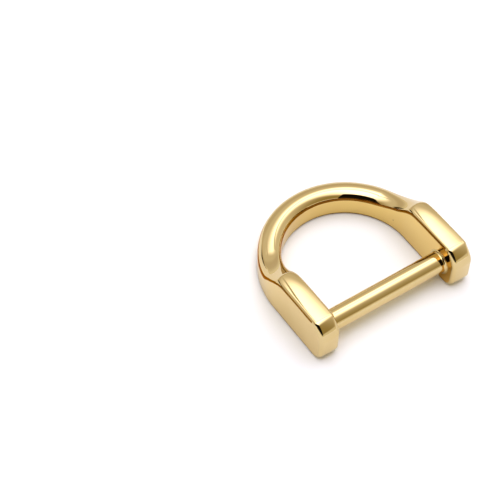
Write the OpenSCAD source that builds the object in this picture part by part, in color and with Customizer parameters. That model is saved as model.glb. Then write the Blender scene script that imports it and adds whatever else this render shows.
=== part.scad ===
// D ring for a strap: one casting with a domed bow, two tall lugs and a round strap bar.
// It lies flat. X runs along the bar, Y from the lug ends to the bow, Z up.
// The origin is at the middle of the outline, on the flat underside. Lengths are in millimetres.

/* [Ring] */
// Overall width, across the outsides of the lugs
overall_w = 26.2; // [23:0.1:32]
// Overall length, from the lug ends to the far side of the bow
overall_l = 24.2; // [22:0.1:32]
// Thickness of the bow and the lugs, seen from above
wall_t = 3.3; // [2.4:0.1:4]
// Radius along both edges of the underside
base_r = 0.35; // [0.2:0.05:0.6]

/* [Bow] */
// Height of the bow's side walls
bow_h = 3.25; // [2:0.05:4]
// Rise of the bow's domed top above its side walls
bow_dome = 1.05; // [0.4:0.05:1.25]

/* [Lugs] */
// Height of the lugs' side walls
lug_h = 6.7; // [5.6:0.1:8.5]
// Rise of the lugs' crowned tops above their side walls
lug_crown = 0.25; // [0.1:0.05:0.6]
// Length from the lug ends to the corner where the ramp starts
lug_l = 9.5; // [8.5:0.1:11]
// Slope of the ramp from the lug top down to the bow, in degrees
ramp_angle = 29; // [27:1:40]
// Radius of the shoulder at the top of the ramp
shoulder_r = 2.8; // [1:0.1:4]
// Radius of the hollow at the foot of the ramp
foot_r = 5.6; // [1:0.1:6.5]
// Radius of the lug ends' top corner, seen from the side
end_top_r = 2.6; // [1:0.1:3.2]
// Radius of the lug ends' bottom corner, seen from the side
end_base_r = 1.2; // [0.4:0.1:1.5]
// Radius of the lug ends' upright edges, seen from above
end_edge_r = 0.8; // [0.3:0.05:1.1]

/* [Strap bar] */
// Diameter of the strap bar
bar_d = 3.2; // [2.4:0.1:3.8]
// Distance from the lug ends to the bar's axis
bar_inset = 3.3; // [2.9:0.1:4.5]
// Height of the bar's axis above the underside
bar_z = 3; // [2.4:0.1:3.5]
// Radius of the fillet where the bar meets each lug
bar_root_r = 0.35; // [0.15:0.05:0.45]

/* [Hidden] */
$fn = 96;

// Gold of the plating
gold = [0.93, 0.78, 0.47];

// Steps that draw each arc of the side outline
arc_steps = 12;

// Length by which shapes that are cut or joined run past each other
over = 1;

// Depth below the tops of the bow's walls at which the ramp's hollow runs out
foot_sink = 0.05;

// Radius of the wall's middle line round the bow, and the place of its centre
mid_r = (overall_w - wall_t) / 2;
bow_y = overall_l - overall_w / 2;

// Clear width between the lugs
gap_w = overall_w - 2 * wall_t;

// Highest point of a lug
lug_top = lug_h + lug_crown;

// Corners of the side outline before they are rounded: the ramp's top and its foot
foot_level = bow_h - foot_sink;
ramp_drop = lug_top - foot_level;
ramp_run = ramp_drop / tan(ramp_angle);
foot_y = lug_l + ramp_run;

// Length that each rounding takes from the ramp, and from the level line beside it
shoulder_cut = shoulder_r * tan(ramp_angle / 2);
foot_cut = foot_r * tan(ramp_angle / 2);

// Points along an arc about centre c, from angle a to angle b in degrees
function arc(c, r, a, b) =
    [for (i = [0 : arc_steps]) let (t = a + (b - a) * i / arc_steps) c + r * [cos(t), sin(t)]];

// Radius of the circle whose cap is wall_t wide and rise high
function cap_radius(rise) = (pow(wall_t / 2, 2) + pow(rise, 2)) / (2 * rise);

// Outline of the casting seen from the side: lug end, lug top, ramp and the bow's side wall
side_outline = concat(
    arc([end_base_r, end_base_r], end_base_r, 270, 180),
    arc([end_top_r, lug_top - end_top_r], end_top_r, 180, 90),
    arc([lug_l - shoulder_cut, lug_top - shoulder_r], shoulder_r, 90, 90 - ramp_angle),
    arc([foot_y + foot_cut, foot_level + foot_r], foot_r, 270 - ramp_angle, 270),
    [[overall_l + over, foot_level], [overall_l + over, 0]]
);

// Cap of a circle, for a domed top that is rise high on walls that are h high
module cap(h, rise) {
    r = cap_radius(rise);
    intersection() {
        translate([0, h + rise - r]) circle(r);
        translate([-wall_t / 2, h]) square([wall_t, rise]);
    }
}

// Cross-section of the wall: flat sides, rounded lower edges and a domed top
module wall_section(h, rise) {
    for (side = [-1, 1]) {
        translate([side * (wall_t / 2 - base_r), base_r]) circle(base_r);
    }
    translate([base_r - wall_t / 2, 0]) square([wall_t - 2 * base_r, h]);
    translate([-wall_t / 2, base_r]) square([wall_t, h - base_r]);
    cap(h, rise);
}

// The wall bent half round the bow's centre
module half_round(h, rise) {
    translate([0, bow_y, 0]) rotate_extrude(angle = 180) translate([mid_r, 0]) wall_section(h, rise);
}

// One straight length of the wall, from y0 to where the bow starts
module straight(side, y0, h, rise) {
    translate([side * mid_r, bow_y, 0])
        rotate([90, 0, 0])
            linear_extrude(bow_y - y0) wall_section(h, rise);
}

// Everything below the side outline, across the whole width
module below_side_outline() {
    translate([-overall_w / 2 - over, 0, 0])
        rotate([90, 0, 90])
            linear_extrude(overall_w + 2 * over) polygon(side_outline);
}

// Plan of one lug, with rounded corners at its free end
module lug_plan() {
    for (side = [-1, 1]) {
        translate([side * (wall_t / 2 - end_edge_r), end_edge_r]) circle(end_edge_r);
    }
    translate([end_edge_r - wall_t / 2, 0]) square([wall_t - 2 * end_edge_r, bow_y]);
    translate([-wall_t / 2, end_edge_r]) square([wall_t, bow_y - end_edge_r]);
}

// One lug: straight and tall, with its free end rounded
module lug(side) {
    intersection() {
        straight(side, 0, lug_h, lug_crown);
        translate([side * mid_r, 0, 0]) linear_extrude(lug_top) lug_plan();
    }
}

// The two lugs and the ramps that carry them down to the bow
module lugs_and_ramps() {
    intersection() {
        union() {
            for (side = [-1, 1]) {
                lug(side);
            }
            half_round(lug_h, lug_crown);
        }
        below_side_outline();
    }
}

// The bow: low and domed, and carried on under the ramps
module bow() {
    half_round(bow_h, bow_dome);
    for (side = [-1, 1]) {
        straight(side, min(lug_l, bow_y - over), bow_h, bow_dome);
    }
}

// The flare of the bar where it runs into a lug, carried on into the lug
module bar_root() {
    rotate_extrude() {
        difference() {
            translate([0, -over]) square([bar_d / 2 + bar_root_r, bar_root_r + over]);
            translate([bar_d / 2 + bar_root_r, bar_root_r]) circle(bar_root_r);
        }
    }
}

// The round bar across the lugs, with a fillet at each end
module strap_bar() {
    bar_l = gap_w + wall_t;
    translate([0, bar_inset, bar_z]) {
        rotate([0, 90, 0]) translate([0, 0, -bar_l / 2]) cylinder(d = bar_d, h = bar_l);
        for (side = [-1, 1]) {
            translate([side * gap_w / 2, 0, 0]) rotate([0, -side * 90, 0]) bar_root();
        }
    }
}

// The whole casting, moved so that the origin is at the middle of its underside
module ring_casting() {
    color(gold)
        translate([0, -overall_l / 2, 0]) {
            lugs_and_ramps();
            bow();
            strap_bar();
        }
}

ring_casting();
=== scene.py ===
"""A polished gold D ring lying flat on a white table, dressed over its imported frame.

All lengths are in metres, in the casting's own frame: X along the strap bar, Y from the lug
ends to the bow, Z up from the flat underside.
"""

import logging
import math
from dataclasses import dataclass
from enum import Enum

import bpy
import numpy as np
from mathutils import Matrix, Vector


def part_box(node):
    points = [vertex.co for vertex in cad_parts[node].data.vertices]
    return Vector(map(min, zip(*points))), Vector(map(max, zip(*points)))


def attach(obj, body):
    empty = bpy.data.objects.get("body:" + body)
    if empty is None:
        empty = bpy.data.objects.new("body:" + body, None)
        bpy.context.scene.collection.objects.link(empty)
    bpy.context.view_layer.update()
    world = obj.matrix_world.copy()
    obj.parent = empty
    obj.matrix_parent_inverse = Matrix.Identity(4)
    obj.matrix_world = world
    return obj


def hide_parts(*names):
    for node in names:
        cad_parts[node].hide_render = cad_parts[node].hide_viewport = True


MM = 0.001
TINY = 1e-20
# Where the amber beside the bar begins and where it is full, counted from the bar's middle: the
# amber is a painted reflection of the table's shadow in the inner wall
AMBER_REFLECTION_RUN = (0.6 * MM, 0.1 * MM)

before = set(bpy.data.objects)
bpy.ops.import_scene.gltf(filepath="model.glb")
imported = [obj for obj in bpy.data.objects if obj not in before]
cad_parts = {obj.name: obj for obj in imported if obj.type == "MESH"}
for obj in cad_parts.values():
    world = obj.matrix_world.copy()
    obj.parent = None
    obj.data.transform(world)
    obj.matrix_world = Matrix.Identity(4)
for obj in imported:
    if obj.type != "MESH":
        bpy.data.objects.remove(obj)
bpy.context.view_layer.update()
log = logging.getLogger("d_ring")


class Side(Enum):
    """The two lugs, by the sign of X on their side."""

    LEFT = -1
    RIGHT = 1


class Gold(Enum):
    """The ring body's golds, by their place in its list of materials: the cast gold, a deeper and
    a lighter copy of it on the inner and outer walls that paint the light each wall reflects, and
    a dark copy for the painted shade along the edge lines.
    """

    CAST = 0
    INNER = 1
    # Dark lines of painted shade and painted dark reflection along the edges and the base
    EDGE = 2
    OUTER = 3


@dataclass(frozen=True)
class RingSizes:
    """The casting's sizes that the surface is built from.

    The overall sizes come from the frame's own box. The others repeat the part's source.
    """

    width: float
    length: float
    height: float
    end_y: float
    wall: float = 3.3 * MM
    bow_walls: float = 3.25 * MM
    bow_dome: float = 1.05 * MM
    base_radius: float = 0.35 * MM
    bar_diameter: float = 3.2 * MM
    bar_inset: float = 3.3 * MM
    bar_height: float = 3.0 * MM
    bar_root_radius: float = 0.35 * MM

    @classmethod
    def from_frame(cls) -> "RingSizes":
        """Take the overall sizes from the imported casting.

        Returns:
            The sizes, with width, length and height measured on the frame.
        """
        low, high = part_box("ring_casting")
        return cls(high[0] - low[0], high[1] - low[1], high[2] - low[2], end_y=low[1])

    @property
    def half_wall(self) -> float:
        """Half of the wall's thickness."""
        return self.wall / 2

    @property
    def middle_radius(self) -> float:
        """Radius of the wall's middle line round the bow, and its distance out at the lugs."""
        return (self.width - self.wall) / 2

    @property
    def bow_y(self) -> float:
        """Place of the bow's centre along Y."""
        return self.end_y + self.length - self.width / 2

    @property
    def clear_width(self) -> float:
        """Clear width between the lugs."""
        return self.width - 2 * self.wall


def smooth_share(value: float | np.ndarray) -> float | np.ndarray:
    """A share that runs smoothly from 0 to 1 as the value does, and stays there outside."""
    share = np.clip(value, 0, 1)
    return share**2 * (3 - 2 * share)


def soft_max(a: np.ndarray, b: np.ndarray, blend: float | np.ndarray) -> np.ndarray:
    """The higher of two heights, with a hollow where they are closer together than the blend."""
    near = np.maximum(blend - np.abs(a - b), 0.0)
    return np.maximum(a, b) + near**2 / (4 * blend)


def soft_min(a: np.ndarray, b: np.ndarray, blend: float | np.ndarray) -> np.ndarray:
    """The lower of two heights, rounded over where they are closer together than the blend."""
    return -soft_max(-a, -b, blend)


def tie_to_casting(piece: bpy.types.Object) -> None:
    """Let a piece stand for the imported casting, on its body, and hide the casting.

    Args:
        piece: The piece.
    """
    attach(piece, "root")
    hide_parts("ring_casting")


def mesh_object(name: str, points: np.ndarray, faces: list[list[int]]) -> bpy.types.Object:
    """Make a smooth mesh whose shading follows its larger faces.

    Args:
        name: The object's name.
        points: One row of X, Y, Z for each vertex.
        faces: The vertices of each face.

    Returns:
        The new object, linked to the scene.
    """
    mesh = bpy.data.meshes.new(name)
    mesh.from_pydata(points.tolist(), [], faces)
    mesh.validate()
    mesh.update()
    mesh.polygons.foreach_set("use_smooth", [True] * len(mesh.polygons))
    normals = np.zeros((len(mesh.vertices), 3))
    for polygon in mesh.polygons:
        pull = np.array(polygon.normal) * polygon.area
        for index in polygon.vertices:
            normals[index] += pull
    lengths = np.linalg.norm(normals, axis=1, keepdims=True)
    normals /= np.maximum(lengths, TINY)
    mesh.normals_split_custom_set_from_vertices(normals.tolist())
    obj = bpy.data.objects.new(name, mesh)
    bpy.context.scene.collection.objects.link(obj)
    return obj


@dataclass
class RingBody:
    """The bow, the two lugs and the ramps between them, as one closed skin.

    The skin is a band that runs round the side outline, along the top from one lug end to the
    other and back along the underside, with the flat walls filled in between its two edges.
    """

    sizes: RingSizes
    # Radii of the wall's upper edges on the lugs and the bow, and where they change
    lug_edge: float = 0.4 * MM
    bow_edge: float = 0.26 * MM
    outer_edge: float = 0.4 * MM
    left_edge: float = 0.85 * MM
    edge_change: float = 1.5 * MM
    left_edge_run: tuple[float, float] = (7.5 * MM, 11.0 * MM)
    # The bow's dome
    crest_shift: float = -0.15 * MM
    crest_drop: float = 0.12 * MM
    inner_dome_radius: float = 1.72 * MM
    outer_dome_radius: float = 2.5 * MM
    # The lug's top, its brow ahead of the ramp, and the ramp with its hollow foot
    top_crown: float = 0.17 * MM
    ramp_crown: float = 0.36 * MM
    crown_power: int = 3
    brow_start: float = 7.2 * MM
    brow_end: float = 11.1 * MM
    brow_angle: float = math.radians(10)
    brow_power: int = 3
    ramp_start: float = 10.9 * MM
    ramp_bend: float = 0.7 * MM
    ramp_angle: float = math.radians(42)
    ramp_blends: tuple[float, float] = (0.15 * MM, 0.9 * MM)
    foot_blend: float = 2.7 * MM
    # The lug's free end
    end_crown: float = 0.15 * MM
    end_turns: tuple[float, float] = (math.radians(36), math.radians(56))
    end_radii: tuple[float, float, float] = (2.7 * MM, 3.8 * MM, 1.5 * MM)
    corner_swell: float = 0.25 * MM
    corner_radius: float = 0.5 * MM
    base_corner: float = 1.75 * MM
    base_power: int = 4
    # Columns that the dark edge lines cover, which paint shade and dark reflections along the
    # upper edges and the base
    inner_shade_line: int = 6
    outer_shade_line: int = 5
    left_shade_line: int = 6
    base_shade_line: int = 8
    # How finely the band is divided, and where its top and its fine rows begin and end
    corner_steps: int = 45
    base_steps: int = 16
    flat_steps: int = 12
    crown_steps: int = 36
    edge_steps: int = 11
    fine_step: float = 0.05 * MM
    coarse_step: float = 0.15 * MM
    top_start: float = 2.6 * MM
    fine_end: float = 19.7344 * MM

    def lug_height(self, y: np.ndarray, across: np.ndarray) -> np.ndarray:
        """Height of the lug's crowned top and of the ramp down to the bow.

        Args:
            y: Distances from the lug ends.
            across: Distances from the wall's middle line.

        Returns:
            The height at each place, running on down below the bow.
        """
        s = self.sizes
        share = np.clip(y / self.ramp_start, 0, 1) ** self.crown_power
        crown = self.top_crown + (self.ramp_crown - self.top_crown) * share
        outward = (across / s.half_wall) ** 2
        brow_length = self.brow_end - self.brow_start
        sag = brow_length * math.tan(self.brow_angle) / self.brow_power
        brow = sag * np.maximum((y - self.brow_start) / brow_length, 0) ** self.brow_power
        top = s.height - brow - crown * outward
        head = self.ramp_start - self.ramp_bend * outward
        ramp = s.height - (y - head) * math.tan(self.ramp_angle)
        low, high = self.ramp_blends
        return soft_min(top, ramp, low + (high - low) * outward**2)

    def bow_height(self, across: np.ndarray) -> np.ndarray:
        """Height of the bow's domed top, whose crest lies nearer to the inner face.

        Args:
            across: Distances from the wall's middle line.

        Returns:
            The height at each place.
        """
        s = self.sizes
        past = across - self.crest_shift
        radius = np.where(past < 0, self.inner_dome_radius, self.outer_dome_radius)
        return s.bow_walls + s.bow_dome - self.crest_drop - radius + np.sqrt(radius**2 - past**2)

    @property
    def columns(self) -> int:
        """Number of the band's points across the wall."""
        return self.crown_steps + 1 + 2 * self.edge_steps

    def across_steps(self, edge: float) -> np.ndarray:
        """Places of the band's columns across the wall, closer together in the rounded edges.

        Args:
            edge: Radius of the wall's upper edges.

        Returns:
            Distances from the wall's middle line, from the inner to the outer face.
        """
        half = self.sizes.half_wall
        inner = np.linspace(-(half - edge), half - edge, self.crown_steps + 1)
        turn = np.linspace(0, math.pi / 2, self.edge_steps + 1)[1:]
        outer = half - edge + edge * np.sin(turn)
        return np.concatenate([-outer[::-1], inner, outer])

    def edge_drop(self, across: np.ndarray, edge: float | np.ndarray) -> np.ndarray:
        """How far the rounding of the wall's edges lies below the unrounded top."""
        past = np.maximum(np.abs(across) - (self.sizes.half_wall - edge), 0)
        return edge - np.sqrt(np.maximum(edge**2 - past**2, 0))

    def path(self) -> np.ndarray:
        """Stations along the wall's middle line where the band has a row.

        Returns:
            Distances from one lug end to the other, without the rounded ends.
        """
        s = self.sizes
        middle = s.bow_y - s.end_y + math.pi * s.middle_radius / 2
        flat = np.linspace(self.top_start, self.brow_start, self.flat_steps)
        fine = np.arange(self.brow_start, self.fine_end, self.fine_step)
        steps = round((middle - self.fine_end) / self.coarse_step)
        coarse = np.linspace(self.fine_end, middle, steps)
        half = np.concatenate([flat[:-1], fine, coarse])
        return np.concatenate([half, 2 * middle - half[-2::-1]])

    def place(self, along: float, across: np.ndarray) -> tuple[np.ndarray, np.ndarray]:
        """Plan position of points on one row.

        Args:
            along: Distance of the row along the wall's middle line.
            across: Distances of the points from the middle line.

        Returns:
            X and Y of each point.
        """
        s = self.sizes
        straight = s.bow_y - s.end_y
        half_round = math.pi * s.middle_radius
        if along <= straight:
            return -(s.middle_radius + across), np.full_like(across, s.end_y + along)
        if along >= straight + half_round:
            back = 2 * straight + half_round - along
            return s.middle_radius + across, np.full_like(across, s.end_y + back)
        turn = math.pi - (along - straight) / s.middle_radius
        radius = s.middle_radius + across
        return radius * math.cos(turn), s.bow_y + radius * math.sin(turn)

    def top_row(self, along: float) -> np.ndarray:
        """Points of the band across the top of the wall at one station.

        Args:
            along: Distance of the station along the wall's middle line.

        Returns:
            One row of X, Y, Z for each point, from the inner to the outer face.
        """
        s = self.sizes
        across = self.across_steps(self.lug_edge)
        x, y = self.place(along, across)
        lug = self.lug_height(y - s.end_y, across)
        z = soft_max(lug, self.bow_height(across), self.foot_blend)
        share = smooth_share((lug - s.bow_walls) / self.edge_change)
        start, end = self.left_edge_run
        left = smooth_share((-x - start) / (end - start))
        outer_edge = self.outer_edge + (self.left_edge - self.outer_edge) * left
        bow_edge = np.where(across < 0, self.bow_edge, outer_edge)
        edge = bow_edge + (self.lug_edge - bow_edge) * share
        return np.stack([x, y, z - self.edge_drop(across, edge)], axis=1)

    def base_row(self, along: float) -> np.ndarray:
        """Points of the band across the underside at one station.

        Args:
            along: Distance of the station along the wall's middle line.

        Returns:
            One row of X, Y, Z for each point, from the inner to the outer face.
        """
        across = self.across_steps(self.sizes.base_radius)
        x, y = self.place(along, across)
        return np.stack([x, y, self.edge_drop(across, self.sizes.base_radius)], axis=1)

    def end_outline(self) -> list[tuple[float, float, float]]:
        """Side outline of a lug's free end, from the underside up to the top.

        The upper corner is rounded in three arcs, of which the middle one is the flattest.

        Returns:
            For each row the angle that the end faces upwards, its distance from the lug's end
            and its height.
        """
        s = self.sizes
        low = self.base_corner
        turns = [-math.pi / 2 * (1 - i / self.base_steps) for i in range(self.base_steps + 1)]
        rows = [(t, low - low * math.cos(t), low + low * math.sin(t)) for t in turns]
        first, second = self.end_turns
        upper = [(0.0, first, self.end_radii[0]), (first, second, self.end_radii[1]),
                 (second, math.pi / 2, self.end_radii[2])]
        rise = sum(radius * (math.sin(end) - math.sin(start)) for start, end, radius in upper)
        y, z = 0.0, s.height - rise
        rows.append((0.0, y, z))
        for start, end, radius in upper:
            steps = round(self.corner_steps * (end - start) / (math.pi / 2))
            for i in range(1, steps + 1):
                turn = start + (end - start) * i / steps
                rows.append((turn, y + radius * (math.cos(start) - math.cos(turn)),
                             z + radius * (math.sin(turn) - math.sin(start))))
            y, z = rows[-1][1], rows[-1][2]
        return rows

    def end_rows(self, side: Side) -> list[np.ndarray]:
        """Rows of the band over one lug's free end, from the underside up to the top.

        Args:
            side: Which lug.

        Returns:
            The rows, in order, without the first rows of the underside and the top.
        """
        s = self.sizes
        rows = []
        for turn, y, z in self.end_outline():
            lift = max(math.sin(turn), 0.0) ** 2
            sink = max(-math.sin(turn), 0.0)
            crown = self.end_crown * (1 - sink) + (self.top_crown - self.end_crown) * lift
            edge = self.corner_radius + (self.lug_edge - self.corner_radius) * lift
            edge += self.corner_swell * max(math.sin(2 * turn), 0.0) ** 2
            edge += (s.base_radius - self.corner_radius) * sink**self.base_power
            across = self.across_steps(edge)
            drop = self.edge_drop(across, edge)
            if crown > 0:
                drop = drop + crown * (across / s.half_wall) ** 2
            x = side.value * (s.middle_radius + across)
            inset = s.end_y + y + drop * math.cos(turn)
            rows.append(np.stack([x, inset, z - drop * math.sin(turn)], axis=1))
        return rows

    def build(self) -> bpy.types.Object:
        """Build the skin.

        Returns:
            The closed mesh of bow, lugs and ramps.
        """
        stations = self.path()
        left = self.end_rows(Side.LEFT)
        right = self.end_rows(Side.RIGHT)
        top = [self.top_row(a) for a in stations]
        base_stations = stations.copy()
        base_stations[0] = self.base_corner
        last = 2 * (self.sizes.bow_y - self.sizes.end_y) + math.pi * self.sizes.middle_radius
        base_stations[-1] = last - self.base_corner
        base = [self.base_row(a) for a in base_stations]
        points = np.concatenate(left[1:-1] + top + right[-2:0:-1] + base[::-1])
        points[:, 2] = np.minimum(points[:, 2], self.sizes.height)
        ends, tops = len(left) - 2, len(top)
        faces = self.band_faces(2 * (ends + tops)) + self.wall_faces(ends, tops)
        return mesh_object("ring_body", points, faces)

    def band_faces(self, count: int) -> list[list[int]]:
        """Faces of the band.

        Args:
            count: Number of its rows.

        Returns:
            The vertices of each face.
        """
        columns = self.columns
        faces = []
        for row in range(count):
            after = (row + 1) % count
            for column in range(columns - 1):
                a, b = row * columns + column, after * columns + column
                faces.append([a, b, b + 1, a + 1])
        return faces

    def wall_faces(self, ends: int, tops: int) -> list[list[int]]:
        """Faces of the flat inner and outer walls, between the band's top and its underside.

        Args:
            ends: Number of the band's rows over one lug's free end.
            tops: Number of its rows along the top, and along the underside.

        Returns:
            The vertices of each face.
        """
        columns = self.columns
        count = 2 * (ends + tops)
        faces = []
        for column, flip in ((0, False), (columns - 1, True)):
            rings = [[row, row + 1, count - 2 - row + ends, count - 1 - row + ends]
                     for row in range(ends, ends + tops - 1)]
            rings.append([*range(ends + 1), count - 1])
            rings.append([*range(ends + tops - 1, 2 * ends + tops + 1)])
            for rows in rings:
                face = [row * columns + column for row in rows]
                faces.append(face if flip else face[::-1])
        return faces

    def gold_of(self, polygon: bpy.types.MeshPolygon, top: range, base: int) -> Gold:
        """Choose the gold of one face.

        Args:
            polygon: The face.
            top: The band's rows along the top.
            base: The first of its rows along the underside.

        Returns:
            The gold: a dark copy on the edge lines that paints shade and dark reflections there,
                and on each wall a copy with a tone of its own that paints the light that wall
                reflects.
        """
        last = self.columns - 1
        places = [index % self.columns for index in polygon.vertices]
        rows = [index // self.columns for index in polygon.vertices]
        if max(places) == 0:
            return Gold.INNER
        if min(places) == last:
            return Gold.OUTER
        if top.start <= min(rows) and max(rows) < top.stop:
            beside = polygon.center[0] < -self.left_edge_run[0]
            on_left = beside and polygon.center[1] > self.sizes.bow_y
            inner, outer = self.inner_shade_line, self.left_shade_line if on_left else self.outer_shade_line
        elif min(rows) >= base:
            inner = outer = self.base_shade_line
        else:
            return Gold.CAST
        return Gold.EDGE if max(places) <= inner or min(places) >= last - outer else Gold.CAST

    def dress(self, body: bpy.types.Object, golds: dict[Gold, bpy.types.Material]) -> None:
        """Plate the skin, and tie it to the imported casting.

        Args:
            body: The skin.
            golds: The material for each of its golds.
        """
        for gold in Gold:
            body.data.materials.append(golds[gold])
        ends, tops = len(self.end_outline()) - 2, len(self.path())
        for polygon in body.data.polygons:
            gold = self.gold_of(polygon, range(ends, ends + tops), 2 * ends + tops)
            polygon.material_index = gold.value
        tie_to_casting(body)


@dataclass
class StrapBar:
    """The round bar across the lugs, with a fillet where it runs into each."""

    sizes: RingSizes
    sides: int = 160
    root_steps: int = 12
    length_steps: int = 24
    sunk: float = 0.3 * MM

    def outline(self) -> list[tuple[float, float]]:
        """Distance from the bar's middle, and radius, of each ring of points.

        Returns:
            Pairs from one end to the other.
        """
        s = self.sizes
        half = s.clear_width / 2
        radius = s.bar_diameter / 2
        root = s.bar_root_radius
        right = [(half - root + root * math.sin(t), radius + root - root * math.cos(t))
                 for t in (math.pi / 2 * i / self.root_steps for i in range(self.root_steps + 1))]
        right.append((half + self.sunk, radius + root))
        steps = self.length_steps
        middle = [(half - root) * (2 * i / steps - 1) for i in range(1, steps)]
        return [(-x, r) for x, r in right[::-1]] + [(x, radius) for x in middle] + right

    def build(self) -> bpy.types.Object:
        """Build the bar.

        Returns:
            The closed mesh of the bar and its fillets.
        """
        s = self.sizes
        outline = self.outline()
        turns = np.linspace(0, 2 * math.pi, self.sides, endpoint=False)
        rings = [
            np.stack([np.full_like(turns, x), r * np.cos(turns), r * np.sin(turns)], axis=1)
            for x, r in outline
        ]
        centre = np.array([0, s.end_y + s.bar_inset, s.bar_height])
        points = np.concatenate(rings) + centre
        faces = []
        n = self.sides
        for i in range(len(outline) - 1):
            for k in range(n):
                a, b = i * n + k, i * n + (k + 1) % n
                faces.append([a, b, b + n, a + n])
        faces.append(list(range(n))[::-1])
        faces.append([(len(outline) - 1) * n + k for k in range(n)])
        return mesh_object("strap_bar", points, faces)

    def dress(self, bar: bpy.types.Object, gold: bpy.types.Material) -> None:
        """Plate the bar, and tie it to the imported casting."""
        bar.data.materials.append(gold)
        tie_to_casting(bar)


Socket = bpy.types.NodeSocket


class NodeSheet:
    """A node tree with short ways to add and join the nodes that the finishes use."""

    def __init__(self, tree: bpy.types.NodeTree) -> None:
        """Take over a tree."""
        self.tree = tree

    def node(self, kind: str, **settings: object) -> bpy.types.Node:
        """Add a node and set its properties.

        Args:
            kind: Blender's name of the node type.
            settings: The properties to set.

        Returns:
            The node.
        """
        node = self.tree.nodes.new(kind)
        for name, value in settings.items():
            setattr(node, name, value)
        return node

    def feed(self, socket: Socket, value: object) -> None:
        """Join an output to a socket, or set the socket's own value.

        Args:
            socket: The input socket.
            value: An output socket, or a plain value.
        """
        if isinstance(value, bpy.types.NodeSocket):
            self.tree.links.new(value, socket)
        else:
            socket.default_value = value

    def math(self, operation: str, *values: object) -> Socket:
        """Add a maths node.

        Args:
            operation: Blender's name of the operation.
            values: One output or number for each input.

        Returns:
            The result's socket.
        """
        node = self.node("ShaderNodeMath", operation=operation)
        for socket, value in zip(node.inputs, values):
            self.feed(socket, value)
        return node.outputs[0]

    def across(self, direction: Socket, axis: Vector) -> Socket:
        """Part of a direction that lies along an axis.

        Args:
            direction: The direction's socket.
            axis: The axis, of unit length.

        Returns:
            The dot product's socket.
        """
        node = self.node("ShaderNodeVectorMath", operation="DOT_PRODUCT")
        self.feed(node.inputs[0], direction)
        node.inputs[1].default_value = axis
        return node.outputs["Value"]

    def ease(self, value: Socket, low: float, high: float) -> Socket:
        """Run smoothly from 0 to 1 as a value goes from one bound to the other.

        Args:
            value: The value's socket.
            low: Where the result is 0.
            high: Where the result is 1, which may be less than low.

        Returns:
            The result's socket.
        """
        node = self.node("ShaderNodeMapRange", interpolation_type="SMOOTHSTEP")
        self.feed(node.inputs["Value"], value)
        flip = low > high
        node.inputs["From Min"].default_value = min(low, high)
        node.inputs["From Max"].default_value = max(low, high)
        node.inputs["To Min"].default_value = 1.0 if flip else 0.0
        node.inputs["To Max"].default_value = 0.0 if flip else 1.0
        return node.outputs["Result"]

    def blend(self, share: object, start: object, end: object) -> Socket:
        """Mix two colours.

        Args:
            share: Share of the second colour, from 0 to 1.
            start: The first colour.
            end: The second colour.

        Returns:
            The mixed colour's socket.
        """
        node = self.node("ShaderNodeMix", data_type="RGBA")
        for name, value in (("Factor_Float", share), ("A_Color", start), ("B_Color", end)):
            self.feed(next(i for i in node.inputs if i.identifier == name), value)
        return next(o for o in node.outputs if o.identifier == "Result_Color")


@dataclass(frozen=True)
class GroupSocket:
    """One input or output of a shared effect."""

    name: str
    kind: str = "NodeSocketFloat"
    output: bool = False
    value: float = 0.0


def effect_group(
    name: str, sockets: list[GroupSocket]
) -> tuple[NodeSheet, dict[str, Socket], dict[str, Socket]]:
    """Start a shader node group for an effect that several finishes share.

    Args:
        name: The group's name.
        sockets: Its inputs and outputs.

    Returns:
        The group's sheet, the inputs as they are seen inside it, and the inner output sockets.
    """
    tree = bpy.data.node_groups.new(name, "ShaderNodeTree")
    for one in sockets:
        side = "OUTPUT" if one.output else "INPUT"
        socket = tree.interface.new_socket(name=one.name, in_out=side, socket_type=one.kind)
        if not one.output and one.kind == "NodeSocketFloat":
            socket.default_value = one.value
    sheet = NodeSheet(tree)
    enter, leave = sheet.node("NodeGroupInput"), sheet.node("NodeGroupOutput")
    ins = {one.name: enter.outputs[one.name] for one in sockets if not one.output}
    outs = {one.name: leave.inputs[one.name] for one in sockets if one.output}
    return sheet, ins, outs


# Details of the plating's clouds and haze, of the polishing waves and of the pinholes
CLOUD_DETAIL = 3.0
CLOUD_RUN = (0.35, 0.65)
MIST_RATIO = 5.0
MIST_RUN = (0.4, 0.7)
WAVE_DETAIL = 1.5
PINHOLE_RUN = (0.055, 0.02)


def plating_tone_group() -> bpy.types.NodeTree:
    """Cloudy change of the plating's colour and of its haze.

    Returns:
        The group, with outputs Colour and Haze.
    """
    sheet, ins, outs = effect_group("plating_tone", [
        GroupSocket("Light tone", "NodeSocketColor"), GroupSocket("Deep tone", "NodeSocketColor"),
        GroupSocket("Cloud scale", value=150.0), GroupSocket("Haze from", value=0.03),
        GroupSocket("Haze to", value=0.06), GroupSocket("Colour", "NodeSocketColor", True),
        GroupSocket("Haze", output=True)])
    place = sheet.node("ShaderNodeTexCoord").outputs["Object"]
    cloud = sheet.node("ShaderNodeTexNoise", noise_dimensions="3D")
    sheet.feed(cloud.inputs["Vector"], place)
    sheet.feed(cloud.inputs["Scale"], ins["Cloud scale"])
    cloud.inputs["Detail"].default_value = CLOUD_DETAIL
    share = sheet.ease(cloud.outputs[0], *CLOUD_RUN)
    sheet.feed(outs["Colour"], sheet.blend(share, ins["Light tone"], ins["Deep tone"]))
    fine = sheet.node("ShaderNodeTexNoise", noise_dimensions="3D")
    sheet.feed(fine.inputs["Vector"], place)
    sheet.feed(fine.inputs["Scale"], sheet.math("MULTIPLY", ins["Cloud scale"], MIST_RATIO))
    mist = sheet.ease(fine.outputs[0], *MIST_RUN)
    span = sheet.math("SUBTRACT", ins["Haze to"], ins["Haze from"])
    sheet.feed(outs["Haze"], sheet.math("MULTIPLY_ADD", mist, span, ins["Haze from"]))
    return sheet.tree


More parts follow.
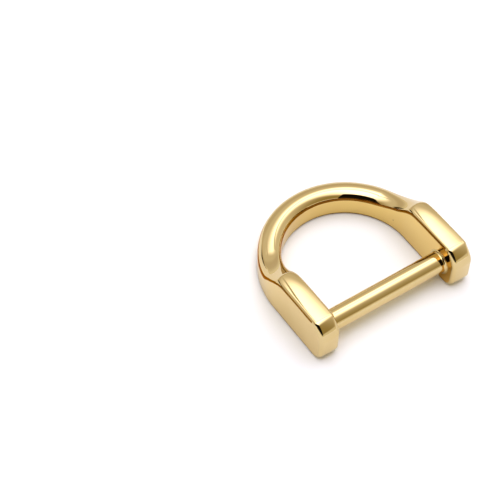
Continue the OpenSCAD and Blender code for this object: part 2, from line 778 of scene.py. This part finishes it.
def polish_relief_group() -> bpy.types.NodeTree:
    """Fine waviness left by the polishing wheel, with a few pinholes from the casting.

    Returns:
        The group, with outputs Height in metres and Pinholes.
    """
    sheet, ins, outs = effect_group("polish_relief", [
        GroupSocket("Place", "NodeSocketVector"), GroupSocket("Wave scale", value=330.0),
        GroupSocket("Wave height", value=2e-6), GroupSocket("Pinhole scale", value=420.0),
        GroupSocket("Pinhole share", value=0.03), GroupSocket("Pinhole depth", value=2e-5),
        GroupSocket("Height", output=True), GroupSocket("Pinholes", output=True)])
    wave = sheet.node("ShaderNodeTexNoise", noise_dimensions="3D")
    sheet.feed(wave.inputs["Vector"], ins["Place"])
    sheet.feed(wave.inputs["Scale"], ins["Wave scale"])
    wave.inputs["Detail"].default_value = WAVE_DETAIL
    cell = sheet.node("ShaderNodeTexVoronoi", feature="F1")
    sheet.feed(cell.inputs["Vector"], ins["Place"])
    sheet.feed(cell.inputs["Scale"], ins["Pinhole scale"])
    dot = sheet.ease(cell.outputs["Distance"], *PINHOLE_RUN)
    pick = sheet.node("ShaderNodeSeparateColor")
    sheet.feed(pick.inputs[0], cell.outputs["Color"])
    chosen = sheet.math("LESS_THAN", pick.outputs[0], ins["Pinhole share"])
    pinholes = sheet.math("MULTIPLY", dot, chosen)
    sheet.feed(outs["Pinholes"], pinholes)
    swell = sheet.math("MULTIPLY", wave.outputs[0], ins["Wave height"])
    dent = sheet.math("MULTIPLY", pinholes, ins["Pinhole depth"])
    sheet.feed(outs["Height"], sheet.math("SUBTRACT", swell, dent))
    return sheet.tree


@dataclass(frozen=True)
class GoldFinish:
    """Mirror-polished pale gold plating."""

    name: str
    light_tone: tuple[float, float, float] = (0.666, 0.515, 0.240)
    deep_tone: tuple[float, float, float] = (0.640, 0.486, 0.214)
    pinhole_tone: tuple[float, float, float] = (0.28, 0.17, 0.06)
    grazing_tone: tuple[float, float, float] = (1.0, 1.0, 1.0)
    haze: tuple[float, float] = (0.012, 0.03)
    cloud_scale: float = 150.0
    wave_stretch: tuple[float, float, float] = (1.0, 1.0, 1.0)
    wave_scale: float = 330.0
    wave_height: float = 2.0e-6
    pinhole_scale: float = 420.0
    pinhole_share: float = 0.03
    pinhole_depth: float = 2.0e-5
    # Amber painted on the inner wall beside the bar, a painted reflection of the table's shadow,
    # and the run of Y over which it fades in
    amber_reflection_tone: tuple[float, float, float] = (0.62, 0.35, 0.05)
    amber_reflection_run: tuple[float, float] | None = None

    def build(self, shades: bpy.types.NodeTree, relief: bpy.types.NodeTree) -> bpy.types.Material:
        """Build the material.

        Args:
            shades: The shared group for the plating's tone.
            relief: The shared group for the polished surface's relief.

        Returns:
            The gold material.
        """
        material = bpy.data.materials.new(self.name)
        material.use_nodes = True
        sheet = NodeSheet(material.node_tree)
        shader = material.node_tree.nodes["Principled BSDF"]
        colour = sheet.node("ShaderNodeGroup", node_tree=shades)
        colour.inputs["Light tone"].default_value = (*self.light_tone, 1)
        colour.inputs["Deep tone"].default_value = (*self.deep_tone, 1)
        colour.inputs["Cloud scale"].default_value = self.cloud_scale
        colour.inputs["Haze from"].default_value = self.haze[0]
        colour.inputs["Haze to"].default_value = self.haze[1]
        stretch = sheet.node("ShaderNodeMapping")
        sheet.feed(stretch.inputs["Vector"], sheet.node("ShaderNodeTexCoord").outputs["Object"])
        stretch.inputs["Scale"].default_value = self.wave_stretch
        surface = sheet.node("ShaderNodeGroup", node_tree=relief)
        sheet.feed(surface.inputs["Place"], stretch.outputs[0])
        surface.inputs["Wave scale"].default_value = self.wave_scale
        surface.inputs["Wave height"].default_value = self.wave_height
        surface.inputs["Pinhole scale"].default_value = self.pinhole_scale
        surface.inputs["Pinhole share"].default_value = self.pinhole_share
        surface.inputs["Pinhole depth"].default_value = self.pinhole_depth
        pinhole = (*self.pinhole_tone, 1)
        tone = colour.outputs["Colour"]
        # Painted reflection: amber on the inner wall beside the bar, standing for the table's
        # shadow that the wall mirrors
        if self.amber_reflection_run is not None:
            parts = sheet.node("ShaderNodeSeparateXYZ")
            sheet.feed(parts.inputs[0], sheet.node("ShaderNodeTexCoord").outputs["Object"])
            reflection_share = sheet.ease(parts.outputs["Y"], *self.amber_reflection_run)
            tone = sheet.blend(reflection_share, tone, (*self.amber_reflection_tone, 1))
        tint = sheet.blend(surface.outputs["Pinholes"], tone, pinhole)
        sheet.feed(shader.inputs["Base Color"], tint)
        sheet.feed(shader.inputs["Roughness"], colour.outputs["Haze"])
        shader.inputs["Metallic"].default_value = 1.0
        shader.inputs["Specular Tint"].default_value = (*self.grazing_tone, 1)
        bump = sheet.node("ShaderNodeBump")
        bump.inputs["Strength"].default_value = 1.0
        bump.inputs["Distance"].default_value = 1.0
        sheet.feed(bump.inputs["Height"], surface.outputs["Height"])
        sheet.feed(shader.inputs["Normal"], bump.outputs["Normal"])
        return material


@dataclass
class ViewPoint:
    """The photograph's camera, in the frame of the ring as it lies there.

    The distance and the ring's place are counted in the ring's own widths.
    """

    sizes: RingSizes
    frame_pixels: float = 500.0
    focal_pixels: float = 1706.0
    sensor: float = 36.0
    elevation: float = math.radians(52.33)
    roll: float = math.radians(3.204)
    distance: float = 9.333
    ring_turn: float = math.radians(36.92)
    ring_x: float = 0.7951
    ring_y: float = -0.4197

    def build(self) -> bpy.types.Object:
        """Build the camera and make it the scene's.

        Returns:
            The camera.
        """
        unit = self.sizes.width
        back = Vector((0, -math.cos(self.elevation), math.sin(self.elevation)))
        right = Vector((1, 0, 0))
        up = back.cross(right)
        c, s = math.cos(self.roll), math.sin(self.roll)
        right, up = c * right + s * up, -s * right + c * up
        turned = Matrix((right, up, back)).transposed().to_4x4()
        turned.translation = back * self.distance * unit
        ring = Matrix.Translation((self.ring_x * unit, self.ring_y * unit, 0))
        ring = ring @ Matrix.Rotation(self.ring_turn, 4, "Z")
        ring = ring @ Matrix.Translation((0, -self.sizes.end_y, 0))
        data = bpy.data.cameras.new("photo_view")
        data.sensor_width = self.sensor
        data.lens = self.focal_pixels * self.sensor / self.frame_pixels
        data.clip_start = 1 * MM
        camera = bpy.data.objects.new("photo_view", data)
        bpy.context.scene.collection.objects.link(camera)
        camera.matrix_world = ring.inverted() @ turned
        bpy.context.scene.camera = camera
        return camera


@dataclass(frozen=True)
class SoftEdge:
    """One straight edge of a light or a card, as a great circle seen from the ring, in degrees.

    The bearing and the height give the middle of the side that the light lies on, and the light
    fades in over the angle from fade_from to fade_to, counted from the great circle. Where
    fade_from is the greater, it fades out.
    """

    bearing: float
    height: float
    fade_from: float
    fade_to: float


@dataclass
class Studio:
    """The white table, the big soft light above it and the room round it.

    Bearings are seen from above: 0 to the right of the picture, 90 to its back and 270 towards
    the camera. The ring is turned in it by the angle turn.
    """

    turn: float
    table_size: float = 3.0
    table_tone: tuple[float, float, float] = (0.93, 0.94, 0.95)
    # Bounced light from the gold, painted on the table round the ring as a warm tint and a faint
    # glow
    bounce_tone: tuple[float, float, float] = (0.93, 0.925, 0.845)
    bounce_run: tuple[float, float] = (0.012, 0.026)
    bounce_light: tuple[float, float, float] = (0.035, 0.03, 0.01)
    ceiling_light: tuple[float, float, float] = (3.2, 3.2, 3.9)
    seam_tone: tuple[float, float, float] = (1.1, 1.1, 1.1)
    gap_tone: tuple[float, float, float] = (0.45, 0.42, 0.36)
    wall_tone: tuple[float, float, float] = (0.77, 0.727, 0.70)
    back_tone: tuple[float, float, float] = (0.64, 0.58, 0.53)
    glow_tone: tuple[float, float, float] = (0.947, 0.926, 0.88)
    shade_tone: tuple[float, float, float] = (0.37, 0.295, 0.135)
    warm_tone: tuple[float, float, float] = (0.07, 0.05, 0.02)
    black_tone: tuple[float, float, float] = (0.008, 0.006, 0.004)
    # The big soft light, the darker gap and seam in it, and the cards and dark parts of the room
    ceiling_edges: tuple[SoftEdge, ...] = (
        SoftEdge(162, 20, -18, 18), SoftEdge(289, 36.7, -13, 13),
        SoftEdge(1, 31.3, -14, 34), SoftEdge(98, 37.8, -9, 9))
    seam_edges: tuple[SoftEdge, ...] = (
        SoftEdge(310, 14.1, -4, -1), SoftEdge(130, -14.1, -4, -1), SoftEdge(20, 0, -9, -3))
    gap_edges: tuple[SoftEdge, ...] = (
        SoftEdge(28, 0, -3.2, -1.2), SoftEdge(208, 0, -3.2, -1.2), SoftEdge(118, 0, 14, 20))
    shade_edges: tuple[SoftEdge, ...] = (SoftEdge(276, 0, -15, 44), SoftEdge(276, 90, 11, 15))
    warm_edges: tuple[SoftEdge, ...] = (SoftEdge(166, 0, 65, 74), SoftEdge(166, -90, -28, -20))
    black_edges: tuple[SoftEdge, ...] = (
        SoftEdge(311, 0, -1, 5), SoftEdge(201, 0, -0.4, 0.4),
        SoftEdge(270, 90, 4, 8), SoftEdge(270, -28, -3, 3))
    back_edges: tuple[SoftEdge, ...] = (SoftEdge(105, 0, 28, 52), SoftEdge(105, -62, -9, 5))
    glow_edge: SoftEdge = SoftEdge(0, 90, 14.6, -2.6)
    room_strength: float = 1.15
    fill_watts: float = 0.01
    fill_size: float = 1.2
    fill_height: float = 0.9

    def axis(self, bearing: float, height: float) -> Vector:
        """Direction in the ring's frame for a bearing and a height in degrees."""
        turn, up = math.radians(bearing) - self.turn, math.radians(height)
        return Vector((math.cos(turn) * math.cos(up), math.sin(turn) * math.cos(up), math.sin(up)))

    def inside(self, sheet: NodeSheet, look: Socket, edges: tuple[SoftEdge, ...]) -> Socket:
        """Mask of the directions that lie inside every edge.

        Args:
            sheet: The world's node sheet.
            look: The direction looked in.
            edges: The edges.

        Returns:
            The mask's socket, 1 inside and 0 outside.
        """
        mask: Socket | None = None
        for edge in edges:
            side = sheet.across(look, self.axis(edge.bearing, edge.height))
            low, high = (math.sin(math.radians(a)) for a in (edge.fade_from, edge.fade_to))
            part = sheet.ease(side, low, high)
            mask = part if mask is None else sheet.math("MULTIPLY", mask, part)
        return mask

    def build_table(self) -> bpy.types.Object:
        """Build the white table, with the gold's bounced light painted round the ring as a warm
        tint and a faint glow.

        Returns:
            The table top.
        """
        half = self.table_size / 2
        points = np.array([[-half, -half, 0], [half, -half, 0], [half, half, 0], [-half, half, 0]])
        table = mesh_object("table", points, [[0, 1, 2, 3]])
        material = bpy.data.materials.new("white_table")
        material.use_nodes = True
        shader = material.node_tree.nodes["Principled BSDF"]
        sheet = NodeSheet(material.node_tree)
        away = sheet.node("ShaderNodeVectorMath", operation="LENGTH")
        sheet.feed(away.inputs[0], sheet.node("ShaderNodeTexCoord").outputs["Object"])
        # Painted bounce light: a warm tint and a glow on the table close to the ring
        near = sheet.ease(away.outputs["Value"], *self.bounce_run[::-1])
        tone = sheet.blend(near, (*self.table_tone, 1), (*self.bounce_tone, 1))
        sheet.feed(shader.inputs["Base Color"], tone)
        glow = sheet.blend(near, (0.0, 0.0, 0.0, 1), (*self.bounce_light, 1))
        sheet.feed(shader.inputs["Emission Color"], glow)
        shader.inputs["Emission Strength"].default_value = 1.0
        shader.inputs["Roughness"].default_value = 1.0
        shader.inputs["Specular IOR Level"].default_value = 0.0
        table.data.materials.append(material)
        return table

    def build_room(self) -> bpy.types.World:
        """Build the light that the room sends in from every direction.

        Returns:
            The scene's world.
        """
        world = bpy.data.worlds.new("soft_room")
        world.use_nodes = True
        sheet = NodeSheet(world.node_tree)
        look = sheet.node("ShaderNodeTexCoord").outputs["Generated"]
        ceiling = self.inside(sheet, look, self.ceiling_edges)
        seam = self.inside(sheet, look, self.seam_edges)
        gap = self.inside(sheet, look, self.gap_edges)
        shade = self.inside(sheet, look, self.shade_edges)
        warm = self.inside(sheet, look, self.warm_edges)
        black = self.inside(sheet, look, self.black_edges)
        glow = self.inside(sheet, look, (self.glow_edge,))
        back = self.inside(sheet, look, self.back_edges)
        wall = sheet.blend(back, (*self.wall_tone, 1), (*self.back_tone, 1))
        wall = sheet.blend(glow, wall, (*self.glow_tone, 1))
        wall = sheet.blend(warm, wall, (*self.warm_tone, 1))
        wall = sheet.blend(shade, wall, (*self.shade_tone, 1))
        light = sheet.blend(seam, (*self.ceiling_light, 1), (*self.seam_tone, 1))
        light = sheet.blend(gap, light, (*self.gap_tone, 1))
        room = sheet.blend(ceiling, wall, light)
        room = sheet.blend(black, room, (*self.black_tone, 1))
        background = world.node_tree.nodes["Background"]
        sheet.feed(background.inputs["Color"], room)
        background.inputs["Strength"].default_value = self.room_strength
        bpy.context.scene.world = world
        bpy.context.scene.view_settings.view_transform = "Standard"
        return world

    def build_fill(self) -> bpy.types.Object:
        """Build the soft lamp that lifts the table to white.

        Returns:
            The lamp.
        """
        data = bpy.data.lights.new("table_fill", "AREA")
        data.shape = "DISK"
        data.size = self.fill_size
        data.energy = self.fill_watts
        lamp = bpy.data.objects.new("table_fill", data)
        lamp.location = (0, 0, self.fill_height)
        lamp.visible_glossy = False
        bpy.context.scene.collection.objects.link(lamp)
        return lamp


def main() -> None:
    """Build the ring, the view and the studio, in that order."""
    logging.basicConfig(level=logging.INFO, format="%(name)s: %(message)s")
    sizes = RingSizes.from_frame()
    tone, relief = plating_tone_group(), polish_relief_group()
    bar_y = sizes.end_y + sizes.bar_inset
    finishes = {
        Gold.CAST: GoldFinish("cast_gold"),
        # Inner wall's gold: a deeper copy that paints the gold's light bounced between the walls
        Gold.INNER: GoldFinish(
            "inner_bounce_gold", (0.76, 0.555, 0.19), (0.735, 0.525, 0.18),
            amber_reflection_run=(bar_y + AMBER_REFLECTION_RUN[0], bar_y + AMBER_REFLECTION_RUN[1])),
        # Edge gold, with its orange grazing tone: painted shade and painted dark reflections along
        # the edge lines
        Gold.EDGE: GoldFinish(
            "edge_shade_gold", (0.27, 0.12, 0.014), (0.17, 0.068, 0.007), grazing_tone=(1.0, 0.6, 0.2)),
        # Outer wall's gold: a lighter copy that paints the light the wall reflects from the table
        Gold.OUTER: GoldFinish("outer_lit_gold", (0.735, 0.56, 0.247), (0.705, 0.53, 0.222)),
    }
    golds = {gold: finish.build(tone, relief) for gold, finish in finishes.items()}
    bar_finish = GoldFinish("bar_gold", wave_stretch=(0.25, 1.0, 1.0), pinhole_share=0.0)
    ring, bar = RingBody(sizes), StrapBar(sizes)
    body, rod = ring.build(), bar.build()
    ring.dress(body, golds)
    bar.dress(rod, bar_finish.build(tone, relief))
    for piece in (body, rod):
        log.info("%s: %d faces", piece.name, len(piece.data.polygons))
    view = ViewPoint(sizes)
    log.info("%s: built", view.build().name)
    studio = Studio(view.ring_turn)
    log.info("%s: built", studio.build_table().name)
    log.info("%s: built", studio.build_room().name)
    log.info("%s: built", studio.build_fill().name)


if __name__ == "__main__":
    main()
